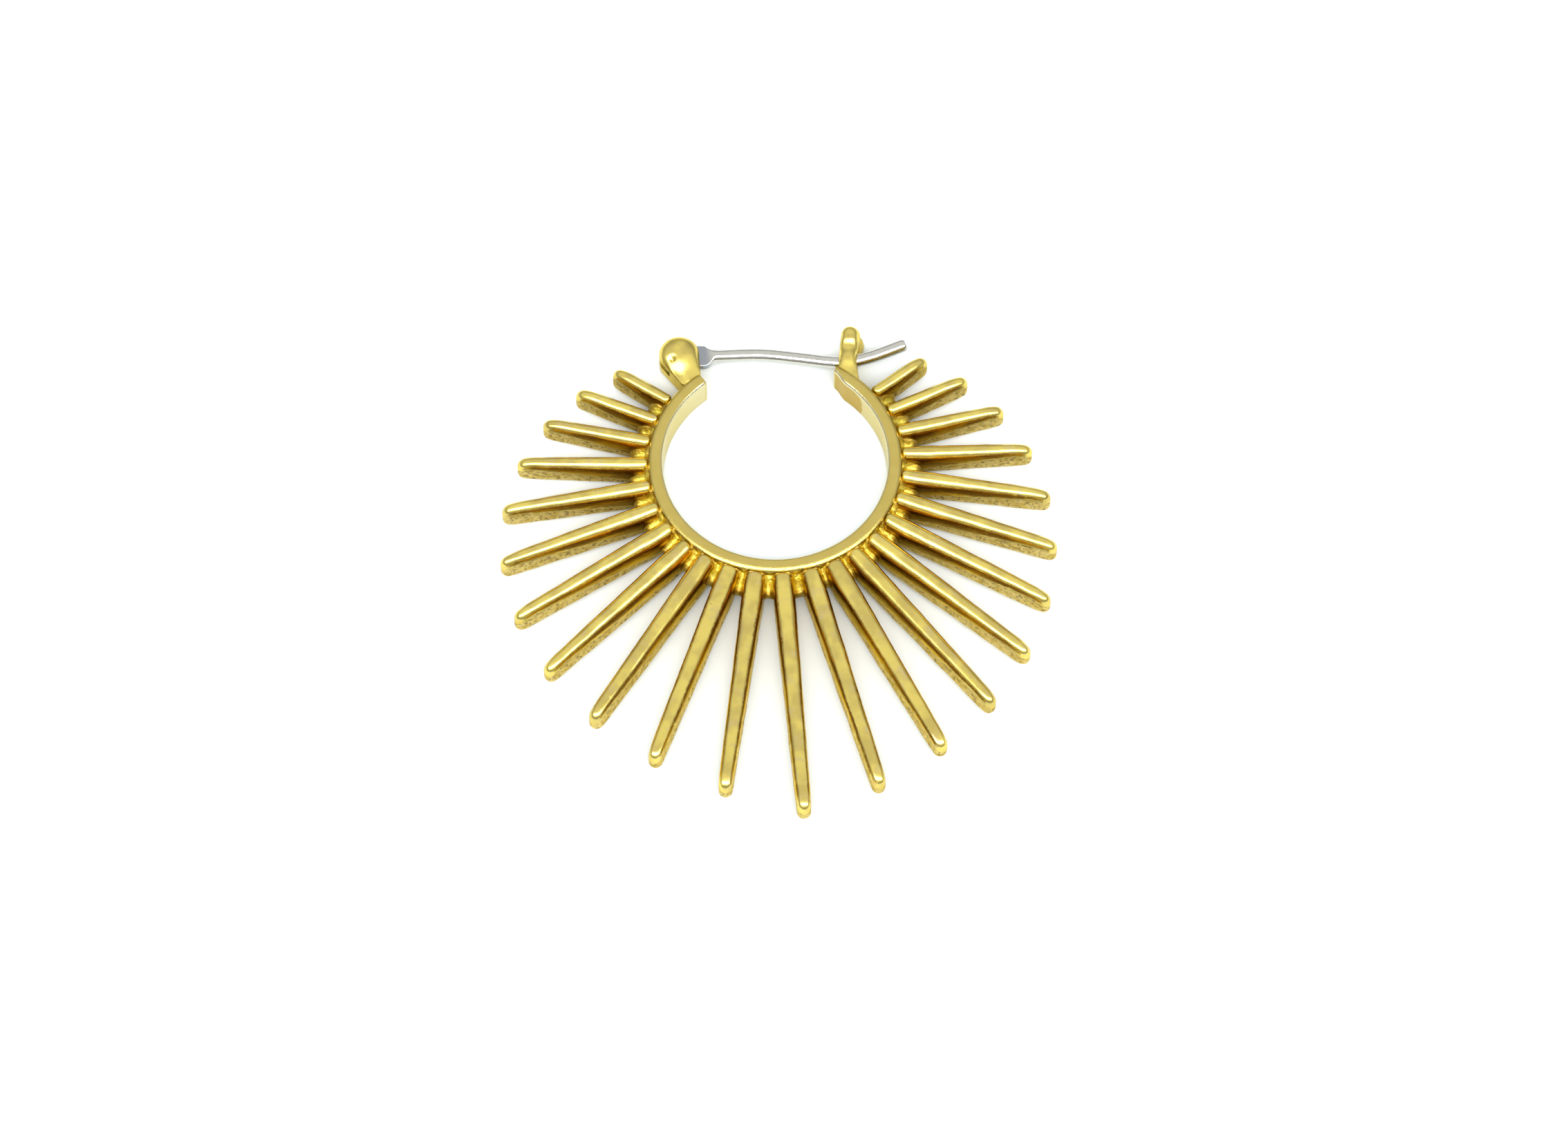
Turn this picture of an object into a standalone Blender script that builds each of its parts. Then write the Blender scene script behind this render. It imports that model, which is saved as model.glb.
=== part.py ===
"""Sunburst hoop earring lying on its back, with a hinged ear wire that snaps into a fork.

The hoop lies in the XY plane and its thickness runs along Z.  Shapes are laid out in millimetres
around the hoop's centre, then placed in metres so that the origin is under the middle of the
whole earring, on the surface that it lies on.
"""
import math

import bmesh
import bpy
from mathutils import Matrix, Vector

MM = 0.001

# Where the hoop's centre lies, so that the whole earring is centred on the origin.
HOOP_CENTRE = (-0.294, 8.590)

# Hoop band: a flat strip bent into an open ring.
BAND_OUTER_RADIUS = 9.75
BAND_INNER_RADIUS = 8.65
BAND_DEPTH = 2.8
BAND_EDGE = 0.12
BAND_CATCH_END = 60.0
BAND_HINGE_END = 128.0
BAND_ARC_STEPS = 72
FILED_FLAT_START = 51.0
FILED_END_RADIUS = 9.12

# Rays: tapered bars with rounded edges, set around the lower part of the band.
RAYS_PER_SIDE = 11
FAN_AXIS = 272.7
FAN_PITCH = 11.45
# The fan isn't even: root and tip angles swell, in degrees, about one ray right of the middle.
SWELL_INDEX = 1.2
ROOT_SWELL = 1.5
ROOT_SWELL_SPREAD = 1.3
TIP_SWELL = 3.3
TIP_SWELL_SPREAD = 4.5
TIP_SETTLE = 1.5
SHORT_RAY_REACH = 15.0
LONG_RAY_REACH = 29.45
REACH_BULGE = 1.05
REACH_BULGE_RATE = 1.15
REACH_SKEW = 0.25
REACH_SKEW_SPREAD = 5.0
RAY_TIP_WIDTH = 1.08
RAY_ROOT_WIDTH_MAX = 1.72
RAY_TAPER = 0.043
RAY_TIP_LEVELS = (0.5, 2.55)
RAY_ROOT_LEVELS = (0.4, 2.75)
RAY_ROUNDING = 0.42
RAY_ROOT_RADIUS = 10.05

# Ray carrier: the low ring around the band whose webs fill the corners between the rays.
CARRIER_OUTER_RADIUS = 11.2
CARRIER_BOTTOM = 0.75
CARRIER_TOP = 2.0
CARRIER_EDGE = 0.1
CARRIER_END_MARGIN = 2.0

# Hinge knuckle: two ears on a root, with a slot for the wire's paddle.
HINGE = (-7.5, 9.85)
EAR_RADIUS = 1.56
EAR_BOTTOM = 0.1
EAR_TOP = 2.7
EAR_EDGE = 0.35
KNUCKLE_ROOT = ((-5.86, 7.86), (-7.06, 6.84))
SLOT_WIDTH = 0.7
SLOT_FLOOR_REACH = 1.5
RIVET_RADIUS = 0.38
RIVET_HOLE_RADIUS = 0.4
PADDLE_HOLE_RADIUS = 0.43

# Ear wire: round wire, flattened into a paddle at the hinge.
WIRE_LEVEL = 1.4
WIRE_RADIUS = 0.5
PADDLE_THICKNESS = 0.6
PADDLE_HALF_WIDTH = 0.92
PADDLE_TAIL = 0.42
PADDLE_FRONT = 2.0
PADDLE_EDGE = 0.06
NECK_END = 2.85
NECK_FILL = 0.9
WIRE_ROUTE = ((-4.6, 9.98), (-1.2, 10.08), (1.5, 9.8), (4.0, 9.46),
              (5.5, 9.42), (7.5, 9.93), (10.1, 11.03))
WIRE_POINT_SPACING = 0.6

# Catch fork: two prongs on a root, which hold the wire's free end between them.
PRONG_HALF_WIDTH = 0.74
PRONG_FOOT = (5.55, 8.6)
PRONG_TIP = (5.76, 11.46)
PRONG_EDGE = 0.14
PRONG_LEAN = 0.5
FORK_BOTTOM = 0.12
FORK_TOP = 2.62
FORK_SLOT = 1.1
FORK_SLOT_FLOOR = 8.86
FORK_ROOT = ((6.36, 7.46), (4.92, 8.5))
BULB_RADIUS = 0.68
BULB_HALF_HEIGHT = 0.42
BULB_LEVEL = 2.38

GAP = 0.03
CUT_MARGIN = 1.0
WELD = 1e-6

GOLD = ((0.70, 0.50, 0.13, 1.0), 0.22, 1.0)
STEEL = ((0.62, 0.62, 0.60, 1.0), 0.16, 1.0)


def polar(angle, radius):
    """A point on the hoop's plane, from an angle in degrees and a radius about its centre."""
    return Vector((radius * math.cos(math.radians(angle)), radius * math.sin(math.radians(angle))))


def arc_points(centre, radius, start, end, steps):
    """Points along an arc, both ends included."""
    angles = [start + (end - start) * i / steps for i in range(steps + 1)]
    return [Vector(centre) + polar(angle, radius) for angle in angles]


def to_world(point, level=0.0):
    """Hoop-centred millimetres to metres in the part's own frame."""
    return Vector((point[0] + HOOP_CENTRE[0], point[1] + HOOP_CENTRE[1], level)) * MM


def make_material(name, finish):
    colour, roughness, metallic = finish
    material = bpy.data.materials.new(name)
    material.use_nodes = True
    shader = material.node_tree.nodes["Principled BSDF"]
    shader.inputs["Base Color"].default_value = colour
    shader.inputs["Roughness"].default_value = roughness
    shader.inputs["Metallic"].default_value = metallic
    material.diffuse_color = colour
    return material


def make_object(name, mesh, collection, finish=None):
    obj = bpy.data.objects.new(name, mesh)
    collection.objects.link(obj)
    if finish is not None:
        mesh.materials.append(make_material(name + "_metal", finish))
    return obj


def mark_as_tool(obj):
    obj.hide_render = True
    obj.display_type = "WIRE"


def shade(obj, sharp_angle=40.0):
    obj.data.shade_smooth()
    obj.data.set_sharp_from_angle(angle=math.radians(sharp_angle))


def curve_to_mesh_object(curve_object, name, collection, finish=None):
    """Replace a curve object by one closed mesh object, welding the curve's loose caps."""
    bpy.context.view_layer.update()
    evaluated = curve_object.evaluated_get(bpy.context.evaluated_depsgraph_get())
    mesh = bpy.data.meshes.new_from_object(evaluated)
    mesh.materials.clear()
    work = bmesh.new()
    work.from_mesh(mesh)
    bmesh.ops.remove_doubles(work, verts=work.verts, dist=WELD)
    bmesh.ops.recalc_face_normals(work, faces=work.faces)
    work.to_mesh(mesh)
    work.free()
    obj = make_object(name, mesh, collection, finish)
    obj.matrix_world = curve_object.matrix_world
    bpy.data.objects.remove(curve_object)
    return obj


def plate(name, outline, bottom, top, edge, collection, finish=None):
    """A flat outline with thickness and rounded edges, made from a 2D curve."""
    curve = bpy.data.curves.new(name, "CURVE")
    curve.dimensions = "2D"
    curve.fill_mode = "BOTH"
    curve.bevel_depth = edge * MM
    curve.bevel_resolution = 1
    curve.offset = -edge * MM
    curve.extrude = ((top - bottom) / 2 - edge) * MM
    spline = curve.splines.new("POLY")
    spline.points.add(len(outline) - 1)
    for target, point in zip(spline.points, outline):
        target.co = (*to_world(point), 1.0)
    spline.use_cyclic_u = True
    curve_object = bpy.data.objects.new(name + "_outline", curve)
    collection.objects.link(curve_object)
    curve_object.location.z = (top + bottom) / 2 * MM
    obj = curve_to_mesh_object(curve_object, name, collection, finish)
    shade(obj)
    return obj


def add_boolean(obj, tool, operation):
    modifier = obj.modifiers.new(operation.title(), "BOOLEAN")
    modifier.operation = operation
    modifier.object = tool
    modifier.solver = "EXACT"


def block(name, low, high, collection):
    """A box between two corners, in hoop-centred millimetres."""
    mesh = bpy.data.meshes.new(name)
    work = bmesh.new()
    bmesh.ops.create_cube(work, size=1.0)
    work.to_mesh(mesh)
    work.free()
    obj = make_object(name, mesh, collection)
    size = Vector(high) - Vector(low)
    middle = (Vector(high) + Vector(low)) / 2
    obj.matrix_world = Matrix.Translation(to_world(middle, middle.z)) @ Matrix.Diagonal((*(size * MM), 1.0))
    return obj


def round_bar(name, centre, radius, bottom, top, collection, finish=None, segments=24):
    """An upright cylinder, in hoop-centred millimetres."""
    mesh = bpy.data.meshes.new(name)
    work = bmesh.new()
    bmesh.ops.create_cone(work, cap_ends=True, segments=segments, radius1=radius * MM,
                          radius2=radius * MM, depth=(top - bottom) * MM)
    work.to_mesh(mesh)
    work.free()
    obj = make_object(name, mesh, collection, finish)
    obj.location = to_world(centre, (top + bottom) / 2)
    shade(obj)
    return obj


def make_band(parts):
    """The open ring, thinned at the catch end where its inner wall is filed flat."""
    catch_end = BAND_CATCH_END
    outer = arc_points((0, 0), BAND_OUTER_RADIUS, BAND_HINGE_END, 360 + catch_end, BAND_ARC_STEPS)
    inner = arc_points((0, 0), BAND_INNER_RADIUS, 360 + FILED_FLAT_START, BAND_HINGE_END, BAND_ARC_STEPS)
    outline = outer + [polar(catch_end, FILED_END_RADIUS)] + inner
    plate("hoop_band", outline, 0.0, BAND_DEPTH, BAND_EDGE, parts, GOLD)


def swell(index, height, spread):
    """Degrees by which the fan swells at one ray."""
    return height * math.exp(-((index - SWELL_INDEX) / spread) ** 2)


def ray_line(index):
    """Root angle, root and tip of one ray; index runs from -11 at the hinge to 11 at the catch."""
    even_angle = FAN_AXIS + FAN_PITCH * index
    ease = 1 - (index / RAYS_PER_SIDE) ** 4
    root_angle = even_angle + swell(index, ROOT_SWELL, ROOT_SWELL_SPREAD)
    tip_angle = even_angle + ease * (swell(index, TIP_SWELL, TIP_SWELL_SPREAD) - TIP_SETTLE)
    share = 1 - abs(index) / RAYS_PER_SIDE
    reach = SHORT_RAY_REACH + (LONG_RAY_REACH - SHORT_RAY_REACH) * share
    reach += REACH_BULGE * max(0.0, math.sin(math.pi * share * REACH_BULGE_RATE))
    if index:
        reach += math.copysign(REACH_SKEW, index) * math.exp(-((index / REACH_SKEW_SPREAD) ** 4))
    return root_angle, polar(root_angle, RAY_ROOT_RADIUS), polar(tip_angle, reach)


def ray_mesh(name, index, margin):
    """A cube drawn out into one tapered bar; margin widens and lengthens it into a cutter."""
    root_angle, root, tip = ray_line(index)
    run = tip - root
    lean = math.radians(root_angle) - math.atan2(run.y, run.x)
    root_width = min(RAY_ROOT_WIDTH_MAX, RAY_TIP_WIDTH + RAY_TAPER * run.length)
    mesh = bpy.data.meshes.new(name)
    work = bmesh.new()
    bmesh.ops.create_cube(work, size=2.0)
    for vert in work.verts:
        end, side, rise = vert.co
        width = (RAY_TIP_WIDTH if end > 0 else root_width) + 2 * margin
        bottom, top = RAY_TIP_LEVELS if end > 0 else RAY_ROOT_LEVELS
        across = side * width / 2
        along = run.length if end > 0 else GAP - margin - across * math.tan(lean)
        level = top + margin if rise > 0 else bottom - margin
        vert.co = Vector((along, across, level)) * MM
    mark_rounded_edges(work)
    work.to_mesh(mesh)
    work.free()
    placing = Matrix.Translation(to_world(root)) @ Matrix.Rotation(math.atan2(run.y, run.x), 4, "Z")
    return mesh, placing


def mark_rounded_edges(work):
    """Mark every edge of a bar for rounding, except those of the end that meets the band."""
    weights = work.edges.layers.float.new("bevel_weight_edge")
    middle = sum((vert.co.x for vert in work.verts)) / len(work.verts)
    for edge in work.edges:
        edge[weights] = 1.0 if any(vert.co.x > middle for vert in edge.verts) else 0.0


def make_rays(parts):
    for index in range(-RAYS_PER_SIDE, RAYS_PER_SIDE + 1):
        name = f"ray_{index + RAYS_PER_SIDE + 1:02d}"
        mesh, placing = ray_mesh(name, index, margin=0)
        ray = make_object(name, mesh, parts, GOLD)
        ray.matrix_world = placing
        rounding = ray.modifiers.new("Crown", "BEVEL")
        rounding.limit_method = "WEIGHT"
        rounding.offset_type = "OFFSET"
        rounding.width = RAY_ROUNDING * MM
        rounding.segments = 3
        shade(ray)


def make_carrier(parts, ray_cutters):
    """A low strip along the band's outside, with a pocket for the root of each ray."""
    first = ray_line(-RAYS_PER_SIDE)[0] - CARRIER_END_MARGIN
    last = ray_line(RAYS_PER_SIDE)[0] + CARRIER_END_MARGIN
    outline = arc_points((0, 0), BAND_OUTER_RADIUS + GAP, first, last, BAND_ARC_STEPS)
    outline += arc_points((0, 0), CARRIER_OUTER_RADIUS, last, first, BAND_ARC_STEPS)
    carrier = plate("ray_carrier", outline, CARRIER_BOTTOM, CARRIER_TOP, CARRIER_EDGE, parts, GOLD)
    for index in range(-RAYS_PER_SIDE, RAYS_PER_SIDE + 1):
        mesh, placing = ray_mesh(f"ray_pocket_{index}", index, margin=GAP)
        cutter = make_object(mesh.name, mesh, ray_cutters)
        cutter.matrix_world = placing
        mark_as_tool(cutter)
    pockets = carrier.modifiers.new("Ray pockets", "BOOLEAN")
    pockets.operation = "DIFFERENCE"
    pockets.operand_type = "COLLECTION"
    pockets.collection = ray_cutters
    pockets.solver = "EXACT"


def rooted_outline(upper_points, foot):
    """An outline that closes along the band's outside, from one foot point round to the other."""
    start, end = (math.degrees(math.atan2(y, x)) for x, y in foot)
    return upper_points + arc_points((0, 0), BAND_OUTER_RADIUS + GAP, start, end, 4)


def make_knuckle(parts, cutters):
    """A teardrop block with a slot for the paddle and a hole for the rivet."""
    head = arc_points(HINGE, EAR_RADIUS, 205.0, -3.0, 16)
    outline = rooted_outline(head, KNUCKLE_ROOT)
    knuckle = plate("hinge_knuckle", outline, EAR_BOTTOM, EAR_TOP, EAR_EDGE, parts, GOLD)
    bore = round_bar("rivet_bore", HINGE, RIVET_HOLE_RADIUS, -CUT_MARGIN, EAR_TOP + CUT_MARGIN, cutters)
    slot = block("paddle_slot",
                 (HINGE[0] - 2 * EAR_RADIUS, HINGE[1] - SLOT_FLOOR_REACH, WIRE_LEVEL - SLOT_WIDTH / 2),
                 (HINGE[0] + 2 * EAR_RADIUS, HINGE[1] + 2 * EAR_RADIUS, WIRE_LEVEL + SLOT_WIDTH / 2), cutters)
    for tool in (bore, slot):
        mark_as_tool(tool)
        add_boolean(knuckle, tool, "DIFFERENCE")


def make_rivet(parts):
    round_bar("hinge_rivet", HINGE, RIVET_RADIUS, EAR_BOTTOM, EAR_TOP, parts, STEEL)


def smooth_route(points, spacing):
    """Points along a Catmull-Rom curve through the given ones, about spacing apart."""
    knots = [Vector(p) for p in points]
    knots = [2 * knots[0] - knots[1], *knots, 2 * knots[-1] - knots[-2]]
    route = []
    for before, start, end, after in zip(knots, knots[1:], knots[2:], knots[3:]):
        steps = max(1, round((end - start).length / spacing))
        for step in range(steps):
            t = step / steps
            route.append(0.5 * (2 * start + (end - before) * t
                                + (2 * before - 5 * start + 4 * end - after) * t * t
                                + (3 * start - before - 3 * end + after) * t ** 3))
    return route + [knots[-2]]


def make_wire(parts, cutters):
    """Round wire, joined to a flat paddle with a hole for the rivet."""
    hinge = Vector(HINGE)
    front = hinge.x + PADDLE_FRONT
    neck = hinge.x + NECK_END
    outline = arc_points((hinge.x - PADDLE_TAIL, hinge.y), PADDLE_HALF_WIDTH, 90.0, 270.0, 12)
    neck_level, neck_half = WIRE_ROUTE[0][1], NECK_FILL * WIRE_RADIUS
    outline += [Vector((front, hinge.y - PADDLE_HALF_WIDTH)), Vector((neck, neck_level - neck_half))]
    outline += [Vector((neck, neck_level + neck_half)), Vector((front, hinge.y + PADDLE_HALF_WIDTH))]
    wire = plate("ear_wire", outline, WIRE_LEVEL - PADDLE_THICKNESS / 2, WIRE_LEVEL + PADDLE_THICKNESS / 2,
                 PADDLE_EDGE, parts, STEEL)
    curve = bpy.data.curves.new("wire_run", "CURVE")
    curve.dimensions = "3D"
    curve.bevel_depth = WIRE_RADIUS * MM
    curve.bevel_resolution = 2
    curve.use_fill_caps = True
    start = (neck - 0.5, WIRE_ROUTE[0][1] - 0.02)
    route = smooth_route((start, *WIRE_ROUTE[1:]), WIRE_POINT_SPACING)
    spline = curve.splines.new("POLY")
    spline.points.add(len(route) - 1)
    for target, point in zip(spline.points, route):
        target.co = (*to_world(point, WIRE_LEVEL), 1.0)
    curve_object = bpy.data.objects.new("wire_run_curve", curve)
    cutters.objects.link(curve_object)
    run = curve_to_mesh_object(curve_object, "wire_run", cutters)
    bore = round_bar("paddle_bore", HINGE, PADDLE_HOLE_RADIUS, 0.0, BAND_DEPTH, cutters)
    for tool, operation in ((run, "UNION"), (bore, "DIFFERENCE")):
        mark_as_tool(tool)
        add_boolean(wire, tool, operation)
    origin = to_world(HINGE, WIRE_LEVEL)
    wire.data.transform(Matrix.Translation(wire.location - origin))
    wire.location = origin


def make_bulb(cutters):
    """The swelling on the upper prong's tip that the wire has to snap past."""
    mesh = bpy.data.meshes.new("prong_bulb")
    work = bmesh.new()
    bmesh.ops.create_uvsphere(work, u_segments=16, v_segments=10, radius=1.0)
    work.to_mesh(mesh)
    work.free()
    bulb = make_object("prong_bulb", mesh, cutters)
    size = Vector((BULB_RADIUS, BULB_RADIUS, BULB_HALF_HEIGHT)) * MM
    bulb.matrix_world = Matrix.Translation(to_world(PRONG_TIP, BULB_LEVEL)) @ Matrix.Diagonal((*size, 1.0))
    return bulb


def make_fork(parts, cutters):
    """Two finger-shaped prongs with a slot for the wire between them; the lower one leans outward."""
    foot, tip = Vector(PRONG_FOOT), Vector(PRONG_TIP)
    heading = math.degrees(math.atan2(tip.y - foot.y, tip.x - foot.x))
    finger = arc_points(tip, PRONG_HALF_WIDTH, heading + 90, heading - 90, 12)
    outline = rooted_outline(finger, FORK_ROOT)
    fork = plate("catch_fork", outline, FORK_BOTTOM, FORK_TOP, PRONG_EDGE, parts, GOLD)
    height = (FORK_TOP - FORK_BOTTOM) * MM
    for vert in fork.data.vertices:
        rise = (vert.co.y - to_world(foot).y) / ((tip - foot).length * MM)
        vert.co.x += PRONG_LEAN * MM * max(0.0, rise) * (0.5 - vert.co.z / height)
    margin = 4 * PRONG_HALF_WIDTH
    slot = block("wire_slot",
                 (foot.x - margin, FORK_SLOT_FLOOR, WIRE_LEVEL - FORK_SLOT / 2),
                 (foot.x + margin, tip.y + margin, WIRE_LEVEL + FORK_SLOT / 2), cutters)
    for tool, operation in ((make_bulb(cutters), "UNION"), (slot, "DIFFERENCE")):
        mark_as_tool(tool)
        add_boolean(fork, tool, operation)


def main():
    for obj in list(bpy.data.objects):
        bpy.data.objects.remove(obj)
    scene = bpy.context.scene
    parts = bpy.data.collections.new("sunburst_hoop_earring")
    cutters = bpy.data.collections.new("cutters")
    ray_cutters = bpy.data.collections.new("ray_cutters")
    for collection in (parts, cutters, ray_cutters):
        scene.collection.children.link(collection)
    make_band(parts)
    make_rays(parts)
    make_carrier(parts, ray_cutters)
    make_knuckle(parts, cutters)
    make_rivet(parts)
    make_wire(parts, cutters)
    make_fork(parts, cutters)


main()
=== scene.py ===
"""Looks of a sunburst hoop earring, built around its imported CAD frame.

Lengths are in millimetres, and places are measured from the hoop's centre. Angles are in degrees
unless a formula needs radians.
"""

import math

import bmesh
import bpy
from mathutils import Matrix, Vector, noise


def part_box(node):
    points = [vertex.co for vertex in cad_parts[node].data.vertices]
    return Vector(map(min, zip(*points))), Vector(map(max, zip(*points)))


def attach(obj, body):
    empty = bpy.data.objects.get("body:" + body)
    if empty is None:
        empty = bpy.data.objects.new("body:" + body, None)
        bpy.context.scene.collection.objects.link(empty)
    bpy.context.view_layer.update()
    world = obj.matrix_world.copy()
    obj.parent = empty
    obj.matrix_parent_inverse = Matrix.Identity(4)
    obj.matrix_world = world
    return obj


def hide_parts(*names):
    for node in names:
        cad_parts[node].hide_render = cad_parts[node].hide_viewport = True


MM = 0.001
ROUND_SIDES = 40

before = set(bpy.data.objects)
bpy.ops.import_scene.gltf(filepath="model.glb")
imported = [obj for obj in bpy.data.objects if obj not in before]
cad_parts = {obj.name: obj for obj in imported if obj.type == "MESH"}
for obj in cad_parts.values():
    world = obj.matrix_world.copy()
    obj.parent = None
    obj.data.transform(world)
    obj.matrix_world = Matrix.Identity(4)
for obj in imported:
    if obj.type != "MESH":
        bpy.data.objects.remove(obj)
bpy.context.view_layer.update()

band_low, band_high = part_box("hoop_band")
BAND_RADIUS = (band_high.x - band_low.x) / 2 / MM
HOOP = Vector(((band_low.x + band_high.x) / 2, band_low.y + BAND_RADIUS * MM, 0.0))
BAND_TOP = band_high.z / MM
BAND_WALL = 1.1
RAYS = sum(name.startswith("ray_") and name != "ray_carrier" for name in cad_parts)
HINGE = (sum(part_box("hinge_rivet"), Vector()) / 2 - HOOP) / MM
WIRE_LEVEL = HINGE.z


def place(x, y, z):
    """Hoop-centred millimetres to metres in the row frame."""
    return HOOP + Vector((x, y, z)) * MM


def polar(angle, radius):
    return radius * math.cos(math.radians(angle)), radius * math.sin(math.radians(angle))


def smoothstep(low, high, x):
    t = min(1.0, max(0.0, (x - low) / (high - low)))
    return t * t * (3 - 2 * t)


def mix(a, b, t):
    return a + (b - a) * t


# ---------------------------------------------------------------- meshes

def loft(name, rings, masks=None, sharp=40.0):
    """Skin a list of rings, each a list of hoop-centred points, and cap the ends."""
    mesh = bpy.data.meshes.new(name)
    work = bmesh.new()
    layers = {key: work.verts.layers.float.new(key) for key in (masks or {})}
    grid = []
    for i, ring in enumerate(rings):
        row = []
        for j, point in enumerate(ring):
            vert = work.verts.new(place(*point))
            for key, layer in layers.items():
                vert[layer] = masks[key][i][j]
            row.append(vert)
        grid.append(row)
    count = len(grid[0])
    for low, high in zip(grid, grid[1:]):
        for j in range(count):
            k = (j + 1) % count
            work.faces.new((low[j], low[k], high[k], high[j]))
    caps = [work.faces.new(list(reversed(grid[0]))), work.faces.new(grid[-1])]
    bmesh.ops.triangulate(work, faces=caps, ngon_method="BEAUTY")
    bmesh.ops.remove_doubles(work, verts=work.verts, dist=2e-7)
    bmesh.ops.dissolve_degenerate(work, edges=work.edges, dist=1e-8)
    bmesh.ops.recalc_face_normals(work, faces=work.faces)
    work.to_mesh(mesh)
    work.free()
    obj = bpy.data.objects.new(name, mesh)
    bpy.context.scene.collection.objects.link(obj)
    mesh.shade_smooth()
    mesh.set_sharp_from_angle(angle=math.radians(sharp))
    return obj


def finish_piece(obj, material, body, slot, *nodes):
    """Give a piece its material, its body and the CAD nodes that it stands for; its finish slot is not used.
    """
    obj.data.materials.clear()
    obj.data.materials.append(material)
    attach(obj, body)
    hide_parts(*nodes)


def cut(obj, tool, sharp=40.0):
    """Subtract one closed mesh from another and keep only the result."""
    modifier = obj.modifiers.new("cut", "BOOLEAN")
    modifier.operation = "DIFFERENCE"
    modifier.object = tool
    modifier.solver = "EXACT"
    bpy.context.view_layer.update()
    evaluated = obj.evaluated_get(bpy.context.evaluated_depsgraph_get())
    result = bpy.data.meshes.new_from_object(evaluated)
    obj.modifiers.clear()
    obj.data = result
    result.shade_smooth()
    result.set_sharp_from_angle(angle=math.radians(sharp))
    bpy.data.objects.remove(tool)


def block(name, low, high):
    """A box between two corners, used as a saw cut."""
    x0, y0, z0 = low
    x1, y1, z1 = high
    outline = ((x0, y0), (x1, y0), (x1, y1), (x0, y1))
    return loft(name, [[(x, y, z) for x, y in outline] for z in (z0, z1)])


def rod(name, centre, radius, low, high):
    """An upright round bar, used as a drill."""
    circle = [polar(360 * k / ROUND_SIDES, radius) for k in range(ROUND_SIDES)]
    return loft(name, [[(centre.x + x, centre.y + y, z) for x, y in circle] for z in (low, high)])


def wander(x, y, z, scale, seed):
    """Smooth noise with about `scale` features per millimetre."""
    return noise.noise(Vector((x * scale + seed, y * scale - seed, z * scale + 0.37 * seed)))


# ---------------------------------------------------------------- materials

class Nodes:
    """A few shorthands for building a node tree."""

    def __init__(self, tree):
        self.tree = tree
        tree.nodes.clear()

    def add(self, kind, **settings):
        node = self.tree.nodes.new(kind)
        for key, value in settings.items():
            setattr(node, key, value)
        return node

    def link(self, source, target):
        self.tree.links.new(source, target)

    def feed(self, socket, value):
        """Link a socket's source, or set its value."""
        if isinstance(value, bpy.types.NodeSocket):
            self.link(value, socket)
        else:
            socket.default_value = value

    def math(self, operation, a, b=0.0):
        node = self.add("ShaderNodeMath", operation=operation)
        self.feed(node.inputs[0], a)
        self.feed(node.inputs[1], b)
        return node.outputs[0]

    def step(self, value, low, high):
        """0 at low, 1 at high, smooth between and flat beyond; low may be the larger of the two."""
        node = self.add("ShaderNodeMapRange", interpolation_type="SMOOTHSTEP")
        self.feed(node.inputs["Value"], value)
        node.inputs["From Min"].default_value = low
        node.inputs["From Max"].default_value = high
        return node.outputs["Result"]

    def colour(self, factor, a, b):
        node = self.add("ShaderNodeMix", data_type="RGBA")
        self.feed(node.inputs["Factor"], factor)
        self.feed(node.inputs["A"], a)
        self.feed(node.inputs["B"], b)
        return node.outputs["Result"]

    def number(self, factor, a, b):
        node = self.add("ShaderNodeMix", data_type="FLOAT")
        self.feed(node.inputs["Factor"], factor)
        self.feed(node.inputs["A"], a)
        self.feed(node.inputs["B"], b)
        return node.outputs["Result"]

    def millimetres(self, stretch=(1.0, 1.0, 1.0)):
        """Object coordinates in millimetres, so that texture scales read as features per millimetre."""
        place_node = self.add("ShaderNodeTexCoord")
        mapping = self.add("ShaderNodeMapping")
        mapping.inputs["Scale"].default_value = [s / MM for s in stretch]
        self.link(place_node.outputs["Object"], mapping.inputs["Vector"])
        return mapping.outputs["Vector"]

    def noise(self, vector, scale, detail=3.0, roughness=0.5):
        node = self.add("ShaderNodeTexNoise")
        self.feed(node.inputs["Vector"], vector)
        node.inputs["Scale"].default_value = scale
        node.inputs["Detail"].default_value = detail
        node.inputs["Roughness"].default_value = roughness
        return node.outputs["Fac"]

    def spread(self, value, width):
        """A 0 to 1 noise turned into one that wanders by half the width either side of 0."""
        return self.math("MULTIPLY", self.math("SUBTRACT", value, 0.5), width)

    def mask(self, name):
        return self.add("ShaderNodeAttribute", attribute_name=name).outputs["Fac"]


def rgb(red, green, blue):
    return (red, green, blue, 1.0)


POLISHED = rgb(0.75, 0.60, 0.14)
SATIN = rgb(0.575, 0.45, 0.115)
ROSY = rgb(0.62, 0.485, 0.21)
RAW_CAST = rgb(0.69, 0.56, 0.23)
RAW_DARK = rgb(0.55, 0.41, 0.12)
PIT = rgb(0.14, 0.085, 0.045)
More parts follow.
